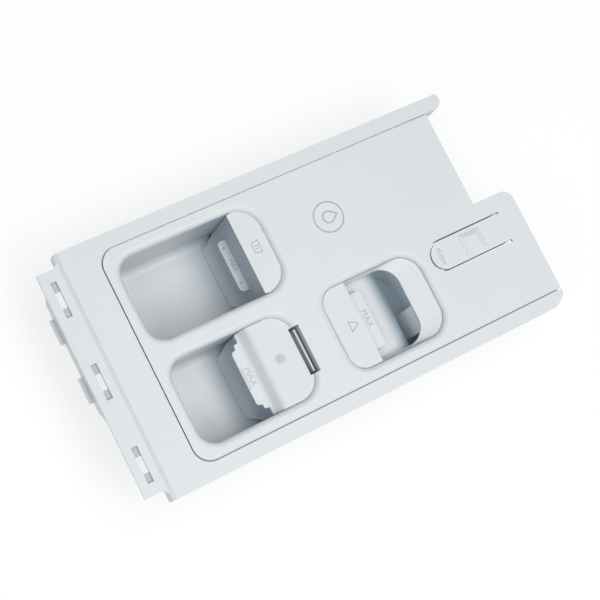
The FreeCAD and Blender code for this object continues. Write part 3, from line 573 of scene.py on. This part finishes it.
# Heights of the words, in millimetres
DETERGENT_WORD = 3.0
SOFTENER_WORD = 4.2
BLEACH_WORD = 4.0
PRESS_WORD = 3.4

# Shapes of the signs, in millimetres
ARROW_MIDDLE = 12.8
ARROW_HALF = 1.2
LINE_HALF_LENGTH = 7.5
LINE_HALF_WIDTH = 0.25
TUB_HALF_TOP = 4.2
TUB_HALF_FOOT = 3.2
TUB_HALF_HEIGHT = 2.6
TUB_LINE = 0.65
TUB_BAR = (0.6, 1.3)
TUB_BAR_HALF_HEIGHT = 1.5
FLOWER_PETALS = 6
FLOWER_REACH = 2.3
FLOWER_PETAL = 1.2
FLOWER_HEART = 0.7        # the middle ring as a share of a petal
FLOWER_LINE = 0.5
FLOWER_STEPS = 24
TRIANGLE_HALF = 3.6
TRIANGLE_FOOT = -2.6
TRIANGLE_TIP = 3.6
TRIANGLE_LINE = 0.7
RING_RADIUS = 11
RING_STEPS = 72
DROP_HEIGHT = 6.6
DROP_RADIUS = 4.0
DROP_START = -220         # the round foot's start and turn, in degrees
DROP_TURN = 260
DROP_STEPS = 24
DECK_LINE = 1.1


def tub_sign():
    """An open tub with two strokes on it, for the main wash."""
    tub = [(-TUB_HALF_TOP, TUB_HALF_HEIGHT), (-TUB_HALF_FOOT, -TUB_HALF_HEIGHT),
           (TUB_HALF_FOOT, -TUB_HALF_HEIGHT), (TUB_HALF_TOP, TUB_HALF_HEIGHT)]
    near, far = TUB_BAR
    strokes = []
    for x0, x1 in ((-far, -near), (near, far)):
        strokes.append(bar(x0, x1, -TUB_BAR_HALF_HEIGHT, TUB_BAR_HALF_HEIGHT))
    return band(tub, TUB_LINE) + strokes


def flower_sign():
    """Round petals, drawn as rings, about a smaller ring, for the softener."""
    outlines = ring(FLOWER_PETAL * FLOWER_HEART, FLOWER_LINE, FLOWER_STEPS)
    for i in range(FLOWER_PETALS):
        angle = 2 * math.pi * i / FLOWER_PETALS + math.pi / 2
        petal = ring(FLOWER_PETAL, FLOWER_LINE, FLOWER_STEPS)
        outlines += shifted(petal, FLOWER_REACH * math.cos(angle), FLOWER_REACH * math.sin(angle))
    return outlines


def triangle_sign():
    """The open triangle that stands for bleach."""
    corners = [(-TRIANGLE_HALF, TRIANGLE_FOOT), (TRIANGLE_HALF, TRIANGLE_FOOT), (0, TRIANGLE_TIP)]
    return band(corners, TRIANGLE_LINE)


def drop_sign():
    """A water drop in a ring. The drop has a round foot that is drawn up to a point."""
    path = []
    for i in range(DROP_STEPS + 1):
        angle = math.radians(DROP_START + DROP_TURN * i / DROP_STEPS)
        path.append((DROP_RADIUS * math.cos(angle), DROP_RADIUS * math.sin(angle)))
    path.append((0, DROP_HEIGHT))
    return ring(RING_RADIUS, DECK_LINE, RING_STEPS) + band(path, DECK_LINE)


arrows = [arrow(middle, ARROW_HALF) for middle in (-ARROW_MIDDLE, ARROW_MIDDLE)]
level_line = [bar(-LINE_HALF_LENGTH, LINE_HALF_LENGTH, -LINE_HALF_WIDTH, LINE_HALF_WIDTH)]

printed_word("max_detergent", "MAX", DETERGENT_WORD, DETERGENT_MARK, LEVEL_DETERGENT)
flat_piece("max_detergent_arrows", arrows, DETERGENT_MARK, LEVEL_DETERGENT)
printed_word("max_softener", "MAX", SOFTENER_WORD, SOFTENER_MARK, LEVEL_SOFTENER)
flat_piece("max_softener_line", level_line, SOFTENER_LINE, LEVEL_SOFTENER)
printed_word("max_bleach", "MAX", BLEACH_WORD, BLEACH_MARK, LEVEL_BLEACH)
printed_word("push", "PUSH", PRESS_WORD, PRESS_MARK, DECK, "latch")
flat_piece("detergent_sign", tub_sign(), DETERGENT_LABEL, SHELF)
flat_piece("softener_sign", flower_sign(), SOFTENER_LABEL, SHELF)
flat_piece("bleach_sign", triangle_sign(), BLEACH_LABEL, SHELF)
flat_piece("deck_sign", drop_sign(), DECK_LABEL, DECK)


# Stage, light and camera

FLOOR_HALF = 3.0
PAPER = {"scale": 3, "detail": 2}
PAPER_RANGE = (0.3, 0.7)
PAPER_LIGHT = (0.93, 0.93, 0.93, 1)
PAPER_DARK = (0.92, 0.92, 0.92, 1)
PAPER_ROUGHNESS = (0.85, 0.95)
PAPER_GLOSS = 0.1
PAPER_LIFT = (0.0, 0.75)          # share of plain white where the camera sees the paper
SKY_TONE = (0.88, 0.935, 1.0, 1)
SKY_STRENGTH = 0.44
LAMP_TONE = (1.0, 0.985, 0.965)
LAMP_TARGET = (0, 0, 0.03)
LAMPS = {
    "key": {"place": (0.75, 0.2, 1.35), "size": 0.9, "power": 9.2},
    "top": {"place": (-0.05, 0.3, 1.9), "size": 1.3, "power": 11},
    "front": {"place": (0.2, -1.0, 1.15), "size": 0.9, "power": 4.4},
}
CAMERA_PLACE = (0.09228, -0.32829, 0.89242)
CAMERA_TARGET = (0.0060, -0.01209, 0.052)
CAMERA_ROLL = math.radians(48.74)
CAMERA_LENS = 83.86


def paper_floor(name):
    """Plain white backdrop with the faintest unevenness, lifted toward white where the camera sees it."""
    material, tree, shader, coords = new_material(name)
    clouds = remap(tree, noise(tree, coords, **PAPER), PAPER_RANGE)
    tree.links.new(mix_colours(tree, clouds, PAPER_LIGHT, PAPER_DARK), shader.inputs["Base Color"])
    tree.links.new(remap(tree, clouds, FULL, PAPER_ROUGHNESS), shader.inputs["Roughness"])
    set_inputs(shader, Specular_IOR_Level=PAPER_GLOSS)
    white = tree.nodes.new("ShaderNodeEmission")
    set_inputs(white, Color=WHITE, Strength=1.0)
    lift = remap(tree, white_rays(tree), FULL, PAPER_LIFT)
    show_mix(tree, lift, shader.outputs["BSDF"], white.outputs["Emission"], "Material Output")
    return material


def add_floor():
    """A wide sheet of paper under the part."""
    corners = [(x * FLOOR_HALF, y * FLOOR_HALF, 0) for x, y in ((-1, -1), (1, -1), (1, 1), (-1, 1))]
    mesh = bpy.data.meshes.new("floor")
    mesh.from_pydata(corners, [], [(0, 1, 2, 3)])
    mesh.materials.append(paper_floor("white_floor"))
    floor = add_object("floor", mesh)


def add_world():
    """Even fill light. The rays of white_rays see plain white instead."""
    world = bpy.data.worlds.new("studio")
    bpy.context.scene.world = world
    world.use_nodes = True
    tree = world.node_tree
    sky = tree.nodes["Background"]
    set_inputs(sky, Color=SKY_TONE, Strength=SKY_STRENGTH)
    white = tree.nodes.new("ShaderNodeBackground")
    set_inputs(white, Color=WHITE, Strength=1.0)
    show_mix(tree, white_rays(tree), sky.outputs["Background"], white.outputs["Background"], "World Output")


def aim(place, target):
    """The turn of a lamp or camera that looks from a place at a target."""
    return (Vector(target) - Vector(place)).to_track_quat("-Z", "Y")


def add_lamp(name, place, size, power):
    """A round area light aimed at the part."""
    light = bpy.data.lights.new(name, "AREA")
    light.color = LAMP_TONE
    light.shape = "DISK"
    light.size = size
    light.energy = power
    lamp = add_object(name, light)
    lamp.location = place
    lamp.rotation_euler = aim(place, LAMP_TARGET).to_euler()


def add_camera():
    """The camera of the photograph, as fitted to its straight edges."""
    camera = bpy.data.cameras.new("camera")
    camera.lens = CAMERA_LENS
    view = add_object("camera", camera)
    view.location = CAMERA_PLACE
    view.rotation_mode = "QUATERNION"
    view.rotation_quaternion = aim(CAMERA_PLACE, CAMERA_TARGET) @ Quaternion((0, 0, 1), CAMERA_ROLL)
    bpy.context.scene.camera = view


add_floor()
add_world()
for lamp_name, lamp_values in LAMPS.items():
    add_lamp(lamp_name, **lamp_values)
add_camera()
bpy.context.scene.view_settings.view_transform = "Standard"
